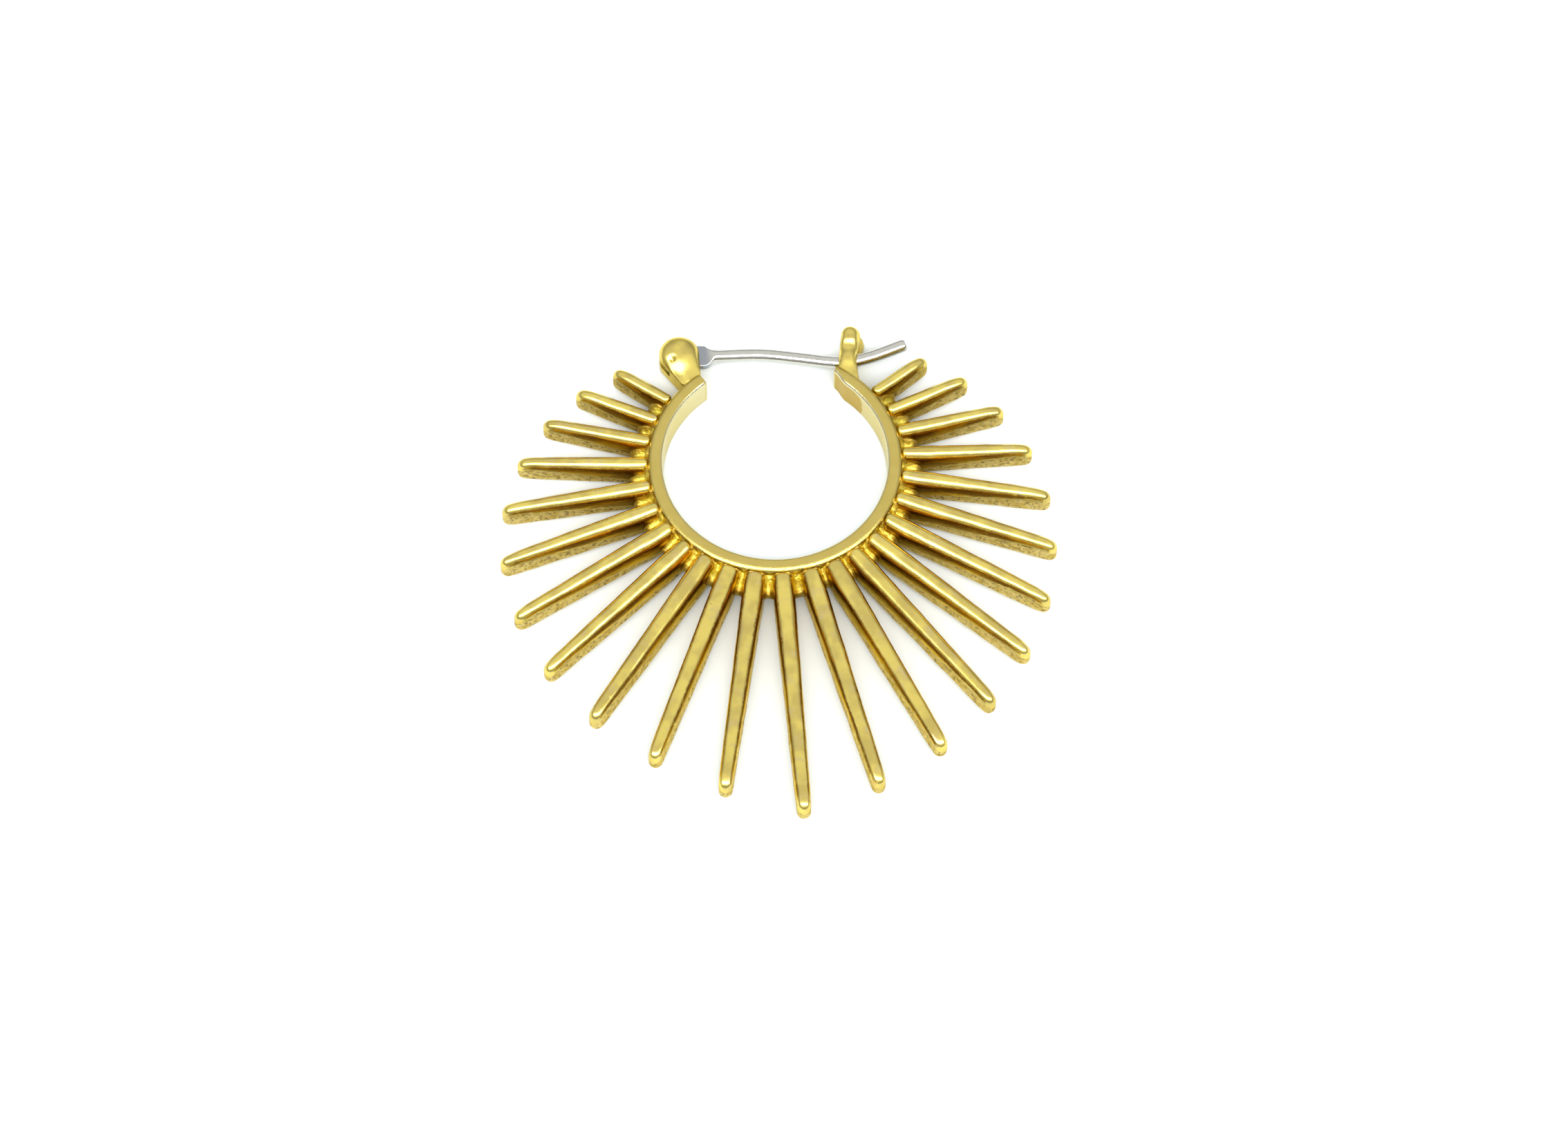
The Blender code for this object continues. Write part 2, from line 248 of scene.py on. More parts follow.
# The next three are the brown of the knuckle's pits and of the painted dark reflection on the ray flanks,
# painted orange glints, and the webs' brown blotches together with their painted shade.
PATINA_AND_PAINTED_REFLECTION = rgb(0.37, 0.23, 0.055)
WEB_BROWN_AND_PAINTED_SHADE = rgb(0.38, 0.25, 0.03)
GLINT = rgb(0.66, 0.40, 0.05)
BRIGHT_WEB = rgb(0.75, 0.67, 0.05)
SPOT = rgb(0.30, 0.26, 0.18)
BAND_TONE = rgb(0.55, 0.425, 0.10)
BAND_WALL_TONE = rgb(0.60, 0.56, 0.37)
FILED_TONE = rgb(0.44, 0.315, 0.09)
EDGE_GOLD = rgb(0.92, 0.78, 0.36)
EDGE_STEEL = rgb(1.0, 1.0, 1.0)
STEEL_DARK = rgb(0.50, 0.49, 0.44)
STEEL_LIGHT = rgb(0.60, 0.59, 0.53)
STEEL_FLAT = rgb(0.30, 0.32, 0.34)
CARD_DARK = rgb(0.705, 0.74, 0.745)
CARD_LIGHT = rgb(0.715, 0.75, 0.755)
COAT_WEIGHT = 0.35


def metal(name, edge_tint=EDGE_GOLD):
    material = bpy.data.materials.new(name)
    material.use_nodes = True
    nodes = Nodes(material.node_tree)
    shader = nodes.add("ShaderNodeBsdfPrincipled")
    shader.inputs["Metallic"].default_value = 1.0
    shader.inputs["Specular Tint"].default_value = edge_tint
    shader.inputs["Coat Weight"].default_value = COAT_WEIGHT
    shader.inputs["Coat Roughness"].default_value = 0.08
    nodes.link(shader.outputs[0], nodes.add("ShaderNodeOutputMaterial").inputs["Surface"])
    return material, nodes, shader


def bump(nodes, shader, height, distance_mm):
    node = nodes.add("ShaderNodeBump")
    node.inputs["Strength"].default_value = 1.0
    node.inputs["Distance"].default_value = distance_mm * MM
    nodes.link(height, node.inputs["Height"])
    nodes.link(node.outputs["Normal"], shader.inputs["Normal"])


def ray_metal():
    """Tumbled crown, a painted dark brown reflection with painted orange glints on the flanks, raw pitted
    casting near the foot.
    """
    material, nodes, shader = metal("cast_ray_gold")
    mm = nodes.millimetres()
    broad = nodes.noise(mm, 0.55, 2.0)
    fine = nodes.noise(mm, 5.0, 4.0, 0.6)
    grain = nodes.noise(mm, 14.0, 3.0, 0.6)
    patchy = nodes.spread(nodes.noise(mm, 1.7, 2.0), 1.3)
    ragged = nodes.math("ADD", nodes.spread(fine, 1.2), patchy)
    cast = nodes.step(nodes.math("ADD", nodes.mask("cast"), ragged), 0.35, 0.65)
    # Painted dark reflection: the flanks below the crown's highlight are darkened to brown.
    painted_shade = nodes.step(nodes.math("ADD", nodes.mask("painted_shade"), ragged), 0.3, 0.7)
    crown = nodes.colour(nodes.step(broad, 0.35, 0.65), SATIN, POLISHED)
    rosy = nodes.math("MULTIPLY", nodes.step(nodes.noise(mm, 0.9, 3.0, 0.6), 0.52, 0.7), 0.6)
    crown = nodes.colour(rosy, crown, ROSY)
    # Painted orange glints, streaked along the ray, inside the painted dark reflection.
    painted_glints = nodes.step(nodes.math("ADD", nodes.mask("glint"), nodes.spread(fine, 0.5)), 0.5, 0.68)
    brown = nodes.colour(painted_glints, PATINA_AND_PAINTED_REFLECTION, GLINT)
    crown = nodes.colour(painted_shade, crown, brown)
    pits = nodes.step(nodes.noise(mm, 3.8, 4.0, 0.75), 0.52, 0.58)
    raw = nodes.colour(nodes.step(nodes.noise(mm, 1.6, 3.0), 0.4, 0.65), RAW_CAST, RAW_DARK)
    raw = nodes.colour(nodes.math("MULTIPLY", pits, 0.7), raw, PIT)
    nodes.link(nodes.colour(cast, crown, raw), shader.inputs["Base Color"])
    polish = nodes.number(grain, 0.12, 0.30)
    dull = nodes.number(grain, 0.34, 0.52)
    nodes.link(nodes.number(cast, polish, dull), shader.inputs["Roughness"])
    # The raw casting and the painted dark reflection get no coat.
    uncoated = nodes.math("MAXIMUM", cast, painted_shade)
    nodes.link(nodes.number(uncoated, COAT_WEIGHT, 0.0), shader.inputs["Coat Weight"])
    rough = nodes.math("MULTIPLY", grain, nodes.number(cast, 0.22, 0.8))
    sunk = nodes.math("MULTIPLY", nodes.math("MULTIPLY", pits, cast), 1.2)
    relief = nodes.math("SUBTRACT", rough, sunk)
    bump(nodes, shader, relief, 0.03)
    return material


def web_metal():
    """Bright yellow plated metal that the polishing wheel never reached."""
    material, nodes, shader = metal("web_gold")
    mm = nodes.millimetres()
    lumps = nodes.noise(mm, 2.2, 3.0)
    blotches = nodes.math("MULTIPLY", nodes.step(nodes.noise(mm, 2.6, 4.0, 0.6), 0.5, 0.64), 0.8)
    # Painted shade at the web's outer slope and beside the rays, from the mask, together with random brown
    # blotches.
    edge = nodes.math("MAXIMUM", nodes.step(nodes.mask("painted_shade"), 0.1, 0.9), blotches)
    bright = nodes.colour(lumps, BRIGHT_WEB, POLISHED)
    nodes.link(nodes.colour(edge, bright, WEB_BROWN_AND_PAINTED_SHADE), shader.inputs["Base Color"])
    nodes.link(nodes.number(lumps, 0.32, 0.48), shader.inputs["Roughness"])
    bump(nodes, shader, nodes.noise(mm, 4.0, 4.0, 0.6), 0.07)
    return material


def band_metal():
    """Satin top with a few spots, polished inside, filed near the catch."""
    material, nodes, shader = metal("band_gold")
    mm = nodes.millimetres()
    broad = nodes.noise(mm, 0.7, 3.0)
    fine = nodes.noise(mm, 9.0, 3.0, 0.6)
    spots = nodes.step(nodes.noise(mm, 1.3, 3.0, 0.7), 0.66, 0.74)
    inner = nodes.mask("inner")
    filed = nodes.step(nodes.math("ADD", nodes.mask("filed"), nodes.spread(broad, 1.8)), 0.45, 0.55)
    top = nodes.colour(nodes.step(broad, 0.35, 0.65), BAND_TONE, SATIN)
    top = nodes.colour(nodes.math("MULTIPLY", spots, 0.55), top, SPOT)
    wall = nodes.colour(filed, BAND_WALL_TONE, FILED_TONE)
    nodes.link(nodes.colour(inner, top, wall), shader.inputs["Base Color"])
    nodes.link(nodes.number(filed, nodes.number(fine, 0.16, 0.28), 0.38), shader.inputs["Roughness"])
    scratches = nodes.noise(nodes.millimetres((3.0, 3.0, 0.5)), 5.0, 3.0, 0.7)
    bump(nodes, shader, nodes.number(filed, fine, scratches), 0.016)
    return material


def smooth_gold():
    """Polished finding: the knuckle and the fork."""
    material, nodes, shader = metal("finding_gold")
    mm = nodes.millimetres()
    broad = nodes.noise(mm, 0.8, 2.0)
    fine = nodes.noise(mm, 7.0, 3.0, 0.6)
    pits = nodes.step(nodes.noise(mm, 2.6, 2.0, 0.6), 0.70, 0.76)
    tone = nodes.colour(nodes.step(broad, 0.35, 0.7), POLISHED, SATIN)
    tone = nodes.colour(nodes.math("MULTIPLY", pits, 0.6), tone, PATINA_AND_PAINTED_REFLECTION)
    nodes.link(tone, shader.inputs["Base Color"])
    nodes.link(nodes.number(fine, 0.18, 0.28), shader.inputs["Roughness"])
    bump(nodes, shader, fine, 0.008)
    return material


def steel():
    """Drawn stainless wire, satin where it is flattened."""
    material, nodes, shader = metal("wire_steel", EDGE_STEEL)
    mm = nodes.millimetres((0.25, 2.0, 2.0))
    drawn = nodes.noise(mm, 6.0, 3.0, 0.6)
    cloud = nodes.noise(nodes.millimetres(), 1.5, 3.0)
    flat = nodes.mask("flat")
    tone = nodes.colour(cloud, STEEL_DARK, STEEL_LIGHT)
    nodes.link(nodes.colour(flat, tone, STEEL_FLAT), shader.inputs["Base Color"])
    nodes.link(nodes.number(flat, nodes.number(drawn, 0.05, 0.1), 0.3), shader.inputs["Roughness"])
    bump(nodes, shader, drawn, 0.006)
    return material


# ---------------------------------------------------------------- band

BAND_OUTER_ROUND = (0.5, 0.34)
BAND_INNER_ROUND = (0.28, 0.24)
BAND_HEEL = 0.1
BAND_START = 128.0
BAND_END = 420.0
BAND_STEPS = 250
BAND_THINS_FROM = 411.0
BAND_THINNING = 0.47
BAND_FILED = (395.0, 405.0)


def band_section(inner_radius):
    """The strip's section as (radius, height) pairs, from the inner heel round the outside."""
    outer = BAND_RADIUS
    points = [(mix(inner_radius + BAND_HEEL, outer - BAND_HEEL, i / 4), 0.0) for i in range(5)]
    points += [(outer, mix(BAND_HEEL, BAND_TOP - BAND_OUTER_ROUND[1], i / 8)) for i in range(9)]
    for i in range(1, 9):
        a = math.radians(90 * i / 8)
        points.append((outer - BAND_OUTER_ROUND[0] * (1 - math.cos(a)),
                       BAND_TOP - BAND_OUTER_ROUND[1] * (1 - math.sin(a))))
    points.append(((points[-1][0] + inner_radius + BAND_INNER_ROUND[0]) / 2, BAND_TOP))
    for i in range(5):
        a = math.radians(90 * i / 4)
        points.append((inner_radius + BAND_INNER_ROUND[0] * (1 - math.sin(a)),
                       BAND_TOP - BAND_INNER_ROUND[1] * (1 - math.cos(a))))
    points += [(inner_radius, mix(BAND_TOP - BAND_INNER_ROUND[1], BAND_HEEL, i / 9)) for i in range(1, 10)]
    return points


def make_band():
    """The open strip, swept from the hinge round to the fork, where its wall thins."""
    rings, inner_mask, filed_mask = [], [], []
    for i in range(BAND_STEPS + 1):
        angle = mix(BAND_START, BAND_END, i / BAND_STEPS)
        thinning = smoothstep(BAND_THINS_FROM, BAND_END, angle) * BAND_THINNING
        middle = BAND_RADIUS - BAND_WALL / 2 + thinning / 2
        shrink = 0.07 if i in (0, BAND_STEPS) else 0.0
        ring, inside, filed = [], [], []
        for radius, z in band_section(BAND_RADIUS - BAND_WALL + thinning):
            x, y = polar(angle, radius)
            ripple = 0.018 * wander(x, y, z, 0.55, 3.0)
            r = radius + (middle - radius) * shrink + (ripple if 0.2 < z < BAND_TOP - 0.1 else 0.0)
            dip = 0.012 + 0.02 * wander(x, y, 0, 0.5, 8.0)
            height = z - (dip if z > BAND_TOP - 0.2 else 0.0)
            ring.append((*polar(angle, r), max(0.0, height + (BAND_TOP / 2 - z) * shrink * 0.4)))
            on_wall = radius < middle - 0.2
            wall = 1.0 if on_wall and shrink == 0 else 0.0
            inside.append(wall if z < BAND_TOP - 0.05 else 0.0)
            filed.append(wall * smoothstep(*BAND_FILED, angle) if z < BAND_TOP - 0.4 else 0.0)
        rings.append(ring)
        inner_mask.append(inside)
        filed_mask.append(filed)
    band = loft("hoop_band_polished", rings, {"inner": inner_mask, "filed": filed_mask})
    finish_piece(band, band_metal(), "hoop", "gold_tone_brass", "hoop_band")


# ---------------------------------------------------------------- rays

TIP_PLAN = 0.6
TIP_FALL = 1.5
TIP_SINK = 0.62
ROOT_PLAN = 0.3
ROOT_DROP = 0.15
ROOT_START = 9.8
END_BLUNTNESS = 2.3
SIDE_CROWN_BLUNTNESS = 2.15
FRONT_CROWN_BLUNTNESS = 2.9
ROOT_CROWN = 1.1
TIP_CROWN = 0.78
RAY_HEEL = 0.3
STATION = 0.14
ROOT_ZONE = 10.7
TIP_ZONE = 2.6
TIP_DEPTH = 0.75


def ray_frame(node):
    """A ray's line, its start and stop along it, half widths and levels, read off its CAD node."""
    points = [(v.co - HOOP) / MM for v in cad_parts[node].data.vertices]
    near = [p for p in points if p.xy.length < ROOT_ZONE]
    far = max(points, key=lambda p: p.xy.length)
    ends = [p for p in points if (p - far).length < TIP_ZONE and p.xy.length > far.xy.length - TIP_DEPTH]
    root = sum(near, Vector()) / len(near)
    tip = sum(ends, Vector()) / len(ends)
    along = (tip - root).xy.normalized()
    across = Vector((-along.y, along.x))
    stop = max((p.xy - root.xy).dot(along) for p in points)
    start = ROOT_START - root.xy.length
    halves = [max(abs((p.xy - root.xy).dot(across)) for p in group) for group in (near, ends)]
    lows = [min(p.z for p in group) for group in (near, ends)]
    highs = [max(p.z for p in group) for group in (near, ends)]
    return root.xy, along, across, start, stop, halves, lows, highs


def half_section(half, low, high, crown, bluntness):
    """One side of a ray's section, from the middle of the underside to the middle of the crown."""
    points = [((half - RAY_HEEL) * i / 3, low) for i in range(3)]
    for i in range(6):
        a = math.radians(90 * i / 5)
        points.append((half - RAY_HEEL * (1 - math.sin(a)), low + RAY_HEEL * (1 - math.cos(a))))
    for i in range(1, 9):
        points.append((half, mix(low + RAY_HEEL, high - crown, i / 8)))
    power = 2 / bluntness
    for i in range(1, 15):
        a = math.radians(90 * i / 14)
        points.append((half * max(0.0, math.cos(a)) ** power, high - crown + crown * math.sin(a) ** power))
    points[-1] = (0.0, high)
    return points


def end_stations(count):
    """How far round a blunt end each station is: 0 where the body starts, 1 at the very end."""
    return [math.sin(math.radians(90 * i / count)) for i in range(count + 1)]


def ray_stations(length):
    """Places along a ray: the share of its body, and how far round its root (below 0) or tip (above 0)."""
    stations = [(0.0, -x) for x in reversed(end_stations(6)[1:])]
    count = max(20, int((length - TIP_PLAN - ROOT_PLAN) / STATION))
    stations += [(i / count, 0.0) for i in range(count + 1)]
    return stations + [(1.0, x) for x in end_stations(9)[1:]]


def make_ray(index, material):
    """A tapered bar with a rounded crown, a sunk tip, and masks for raw casting, a painted dark reflection
    and painted glints.
    """
    node = f"ray_{index:02d}"
    root, along, across, start, stop, halves, lows, highs = ray_frame(node)
    length = stop - start
    seed = index * 5.3
    frontness = smoothstep(0.72, 0.97, -along.y)
    bluntness = mix(SIDE_CROWN_BLUNTNESS, FRONT_CROWN_BLUNTNESS, frontness)
    # How far up the crown the painted dark reflection reaches, higher on the front rays.
    painted_shade_stops = mix(0.36, 0.2, frontness), mix(0.18, 0.04, frontness)
    rings, cast, painted_shade, glint = [], [], [], []
    for share, bend in ray_stations(length):
        plan = TIP_PLAN if bend > 0 else ROOT_PLAN
        s = start + ROOT_PLAN + share * (length - ROOT_PLAN - TIP_PLAN) + plan * bend
        narrow = (1 - abs(bend) ** END_BLUNTNESS) ** (1 / END_BLUNTNESS)
        low, high = mix(lows[0], lows[1], share), mix(highs[0], highs[1], share)
        middle = (low + high) / 2
        fall = max(0.0, 1 - (stop - s) / TIP_FALL)
        sink = TIP_SINK * (1 - math.sqrt(max(0.0, 1 - fall ** 2)))
        drop = ROOT_DROP * (1 - narrow) if bend < 0 else 0.3 * (1 - narrow)
        crown = mix(ROOT_CROWN, TIP_CROWN, share)
        half = mix(halves[0], halves[1], share) * mix(0.9, 1.0, smoothstep(start, start + 2.2, s))
        section = half_section(half * (1 - 0.1 * fall ** 2), low, high, crown, bluntness)
        profile = section + [(-v, z) for v, z in reversed(section[1:-1])]
        border = mix(low + 0.3, high - 0.42, share ** 0.85) - 0.3 * fall
        # Strength of the painted dark reflection: weaker towards the tip and on the front rays.
        shade = mix(1.0, 0.8, share) * (1 - 0.8 * fall) * mix(1.0, 0.8, frontness)
        ring, rough, brown, orange = [], [], [], []
        for v, z in profile:
            side = v * narrow
            level = middle + (z - middle) * (1 - drop)
            level -= sink * smoothstep(low + 0.3, high, z)
            px, py = root + along * s + across * side
            raw = 1 - smoothstep(border - 0.1, border + 0.1, z)
            wobble = 0.035 * wander(px, py, z, 0.55, seed) + 0.018 * wander(px, py, z, 1.8, seed)
            pit = max(0.0, wander(px, py, z, 3.2, seed + 40) - 0.12) * 0.2 * raw
            pit *= smoothstep(low + 0.3, low + 0.6, z)
            push = 0.0 if abs(v) < 1e-6 else math.copysign(1.0, v)
            side += push * (wobble - pit) * (1.0 if z < high - crown else 0.6)
            streak = wander(s * 0.35, v * 2.4, 0.0, 1.0, seed + 21)
            lift = 0.04 * wander(px, py, 0.0, 0.6, seed + 9) + 0.05 * frontness * streak
            lift *= smoothstep(high - crown, high - 0.2, z)
            px, py = root + along * s + across * side
            ring.append((px, py, max(0.0, min(level + lift, BAND_TOP))))
            rough.append(raw)
            # Painted dark reflection: from just above the raw casting up to the crown's shoulder.
            shoulder = 1 - smoothstep(high - crown * painted_shade_stops[0], high - crown * painted_shade_stops[1], z)
            brown.append(smoothstep(border + 0.04, border + 0.16, z) * shoulder * shade)
            # Where the painted orange glints fall, streaked along the ray.
            orange.append(0.5 + 0.6 * wander(s * 0.3, v, z * 2.6, 1.0, seed + 60))
        rings.append(ring)
        cast.append(rough)
        painted_shade.append(brown)
        glint.append(orange)
    ray = loft(f"{node}_cast", rings, {"cast": cast, "painted_shade": painted_shade, "glint": glint}, sharp=60.0)
    finish_piece(ray, material, "hoop", "gold_tone_brass", node)


# ---------------------------------------------------------------- webs

WEB_INNER = 9.6
WEB_OUTER = 11.35
WEB_TOP_AT_RAY = 2.1
WEB_TOP_IN_VALLEY = 1.62
WEB_SLOPE = 1.15
WEB_LIP = 1.1
WEB_STEPS = 520


def turn(x, y):
    """A point's angle about the hoop in degrees, counted on from 90 so that the fan isn't split at 0."""
    angle = math.degrees(math.atan2(y, x)) % 360
    return angle + 360 if angle < 90 else angle


def web_section(outer, top):
    """The web's section as (radius, height) pairs: under, out, up a long slope and up to the band."""
    points = [(WEB_INNER, 0.75), (outer - 0.5, 0.8), (outer - 0.12, 0.86)]
    points += [(outer, 0.98), (outer - 0.05, WEB_LIP)]
    for i in range(1, 7):
        a = math.radians(90 * i / 6)
        points.append((outer - 0.05 - WEB_SLOPE * (1 - math.cos(a)), WEB_LIP + (top - WEB_LIP) * math.sin(a)))
    return points + [(10.12, top + 0.04), (10.02, top + 0.12), (9.92, top + 0.26), (WEB_INNER, top + 0.45)]


def make_webs():
    """Cast metal that fills the corners between the ray roots, sagging to a valley in each gap."""
    points = [(v.co - HOOP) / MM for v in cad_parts["ray_carrier"].data.vertices]
    angles = [turn(p.x, p.y) for p in points]
    start, end = min(angles), max(angles)
    centres = []
    for number in range(1, RAYS + 1):
        root, along = ray_frame(f"ray_{number:02d}")[:2]
        centres.append(turn(*(root + along * 0.7)))
    rings, painted_shade = [], []
    for i in range(WEB_STEPS + 1):
        angle = mix(start, end, i / WEB_STEPS)
        shrink = smoothstep(0, 6, min(i, WEB_STEPS - i))
        valley = smoothstep(2.6, 5.6, min(abs(angle - c) for c in centres))
        x0, y0 = polar(angle, 10.6)
        outer = WEB_OUTER - 0.2 * valley + 0.35 * wander(x0, y0, 0, 0.45, 5.0)
        top = mix(WEB_TOP_AT_RAY, WEB_TOP_IN_VALLEY, valley)
        ring, brown = [], []
        for radius, z in web_section(outer, top):
            x, y = polar(angle, radius)
            lump = 0.13 * wander(x, y, z, 0.9, 2.0) + 0.1 * wander(x, y, z, 2.2, 7.0)
            level = z + (lump if z > 1.0 else 0.0)
            drawn_in = mix(WEB_INNER, radius, mix(0.6, 1.0, shrink))
            ring.append((*polar(angle, drawn_in), mix(1.4, level, mix(0.5, 1.0, shrink))))
            # Painted shade: full beside the rays, and rising towards the web's outer edge.
            beside_ray = 0.8 * (1 - smoothstep(0.3, 0.8, valley))
            brown.append(max(smoothstep(outer - 0.7, outer - 0.1, radius), beside_ray))
        rings.append(ring)
        painted_shade.append(brown)
    webs = loft("ray_webs", rings, {"painted_shade": painted_shade}, sharp=60.0)
    finish_piece(webs, web_metal(), "hoop", "gold_tone_brass", "ray_carrier")


# ---------------------------------------------------------------- findings

def nearest_on_spine(point, start, end):
    run = end - start
    share = (Vector(point) - start).dot(run) / run.length_squared
    return start + run * min(1.0, max(0.0, share))


def pillow(name, outline, spine, bottom, top, heel, dome, shape):
    """A solid whose outline is drawn in towards a spine as it rounds over into a domed top."""
    start, end = (Vector(p) for p in spine)
    middle = [nearest_on_spine(p, start, end) for p in outline]
    levels = [(0.9, bottom), (0.5, bottom)]
    for i in range(5):
        a = math.radians(90 * i / 4)
        levels.append((heel * (1 - math.sin(a)), bottom + heel * (1 - math.cos(a))))
    for i in range(1, 7):
        levels.append((0.0, mix(bottom + heel, top - dome, i / 6)))
    for i in range(1, 15):
        inset = (1 - math.cos(math.radians(90 * i / 14))) * 0.97
        levels.append((inset, top - dome + dome * math.sqrt(1 - (1 - inset) ** 2)))
    rings = []
    for inset, z in levels:
        ring = []
        for p, m in zip(outline, middle):
            x, y = mix(p[0], m.x, inset), mix(p[1], m.y, inset)
            ring.append(shape(x, y, z))
        rings.append(ring)
    return loft(name, rings, sharp=50.0)


OUTLINE_SPACING = 0.16


def rounded_outline(centre, radius, start, end, steps, tail):
    """An arc followed by a tail of loose points, resampled so that the ring's spacing is even."""
    points = [Vector(centre) + Vector(polar(mix(start, end, i / steps), radius)) for i in range(steps + 1)]
    points += [Vector(p) for p in tail]
    dense = []
    for a, b in zip(points, points[1:] + points[:1]):
        pieces = max(1, round((b - a).length / OUTLINE_SPACING))
        dense += [a.lerp(b, k / pieces) for k in range(pieces)]
    return dense


RIVET_HOLE_RADIUS = 0.4
PADDLE_HOLE_RADIUS = 0.43

EAR_RADIUS = 1.56
EAR_FOOT = (-6.5, 7.5)
EAR_HEEL = 0.25
EAR_DOME = 0.95
EAR_PIT = (-8.0, 9.15)
EAR_ROOT = ((-5.86, 8.6), (-5.75, 7.7), (-5.7, 7.15), (-6.6, 6.75), (-7.3, 7.2), (-8.2, 8.3))
HINGE_SLOT = 0.7


def make_knuckle(material):
    """A domed eye on a root that slopes down to the band, slotted for the wire's paddle."""
    low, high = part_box("hinge_knuckle")
    bottom, top = low.z / MM, high.z / MM
    outline = rounded_outline(HINGE.xy, EAR_RADIUS, 205.0, -3.0, 30, EAR_ROOT)

    def shape(x, y, z):
        upper = smoothstep(WIRE_LEVEL + 0.45, top, z)
        lift = 0.05 * wander(x, y, z, 0.9, 4.0)
        pit = 0.4 * math.exp(-((x - EAR_PIT[0]) ** 2 + (y - EAR_PIT[1]) ** 2) / 0.025)
        fall = 0.62 * smoothstep(9.7, 7.3, y)
        return x, y, min(z + upper * (lift - pit - fall), BAND_TOP)

    spine = (HINGE.x, HINGE.y), EAR_FOOT
    ear = pillow("hinge_knuckle_polished", outline, spine, bottom, top + 0.05, EAR_HEEL, EAR_DOME, shape)
    cut(ear, block("slot", (HINGE.x - 4, HINGE.y - 1.5, WIRE_LEVEL - HINGE_SLOT / 2),
                   (HINGE.x + 4, HINGE.y + 4, WIRE_LEVEL + HINGE_SLOT / 2)))
    rivet_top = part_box("hinge_rivet")[1].z / MM
    cut(ear, rod("rivet_hole", HINGE, RIVET_HOLE_RADIUS, -1.0, rivet_top + 0.005))
    finish_piece(ear, material, "hoop", "gold_tone_brass", "hinge_knuckle")


PRONG_FOOT = Vector((5.55, 8.6))
PRONG_TIP = Vector((5.76, 11.46))
PRONG_HALF_WIDTH = 0.74
PRONG_HEEL = 0.2
PRONG_DOME = 0.6
PRONG_LEAN = 0.5
FORK_TOP = 2.62
FORK_SLOT = 1.1
FORK_SLOT_FLOOR = 8.86
FORK_ROOT = ((6.3, 9.4), (6.36, 8.6), (6.55, 7.3), (5.6, 7.2), (4.97, 7.75), (4.9, 8.5), (4.9, 9.4))


def make_fork(material):
    """A slotted finger with a waist and a knob, whose lower prong leans outwards."""
    run = PRONG_TIP - PRONG_FOOT
    heading = math.degrees(math.atan2(run.y, run.x))
    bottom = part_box("catch_fork")[0].z / MM
    outline = rounded_outline(PRONG_TIP, PRONG_HALF_WIDTH, heading + 90, heading - 90, 20, FORK_ROOT)

    def shape(x, y, z):
        rise = max(0.0, (y - PRONG_FOOT.y) / run.length)
        lean = PRONG_LEAN * rise * (1 - (z - bottom) / (FORK_TOP - bottom))
        knob = smoothstep(10.45, 11.0, y)
        waist = math.exp(-((y - 10.2) / 0.45) ** 2)
        fall = 0.3 * smoothstep(9.4, 8.2, y)
        upper = smoothstep(WIRE_LEVEL + 0.58, 2.55, z)
        return x + lean, y, min(z + upper * (0.16 * knob - 0.14 * waist - fall), BAND_TOP)

    spine = PRONG_FOOT - Vector((0, 0.9)), PRONG_TIP
    fork = pillow("catch_fork_polished", outline, spine, bottom, FORK_TOP, PRONG_HEEL, PRONG_DOME, shape)
    cut(fork, block("slot", (PRONG_FOOT.x - 4, FORK_SLOT_FLOOR, WIRE_LEVEL - FORK_SLOT / 2),
                    (PRONG_FOOT.x + 4, 14, WIRE_LEVEL + FORK_SLOT / 2)))
    finish_piece(fork, material, "hoop", "gold_tone_brass", "catch_fork")


# ---------------------------------------------------------------- wire

ROUTE = ((-4.6, 9.98), (-1.2, 10.08), (1.5, 9.8), (4.0, 9.46), (5.5, 9.42), (7.5, 9.93), (10.1, 11.03))
WIRE_RADIUS = 0.5
PADDLE_HALF_WIDTH = 0.92
PADDLE_THICKNESS = 0.6
PADDLE_TAIL = HINGE.x - 1.34
PADDLE_ROUND = HINGE.x - 0.42
FLAT_END = HINGE.x + 2.0
NECK_END = HINGE.x + 2.85
LEAD_STEPS = 36


def smooth_route(points, spacing):
    """A Catmull-Rom curve through a few points."""
    knots = [Vector(p) for p in points]
    knots = [2 * knots[0] - knots[1], *knots, 2 * knots[-1] - knots[-2]]
    route = []
    for before, start, end, after in zip(knots, knots[1:], knots[2:], knots[3:]):
        steps = max(1, round((end - start).length / spacing))
        for step in range(steps):
            t = step / steps
            route.append(0.5 * (2 * start + (end - before) * t
                                + (2 * before - 5 * start + 4 * end - after) * t * t
                                + (3 * start - before - 3 * end + after) * t ** 3))
    return route + [knots[-2]]


def wire_route():
    """The paddle's centre line, an S into the rod's, and then the rod's own route."""
    lead = []
    for i in range(LEAD_STEPS):
        x = mix(PADDLE_TAIL, NECK_END, i / LEAD_STEPS)
        lead.append(Vector((x, mix(HINGE.y, ROUTE[0][1], smoothstep(FLAT_END, NECK_END, x)))))
    return lead + [p for p in smooth_route(ROUTE, 0.16) if p.x > NECK_END]


def wire_half_width(x):
    """Round at the tail, wide over the paddle, then narrowing to the rod."""
    from_round = x - PADDLE_ROUND
    if from_round < 0:
        return math.sqrt(max(0.0, PADDLE_HALF_WIDTH ** 2 - from_round ** 2))
    return mix(PADDLE_HALF_WIDTH, WIRE_RADIUS, smoothstep(FLAT_END - 0.05, NECK_END, x) ** 0.8)


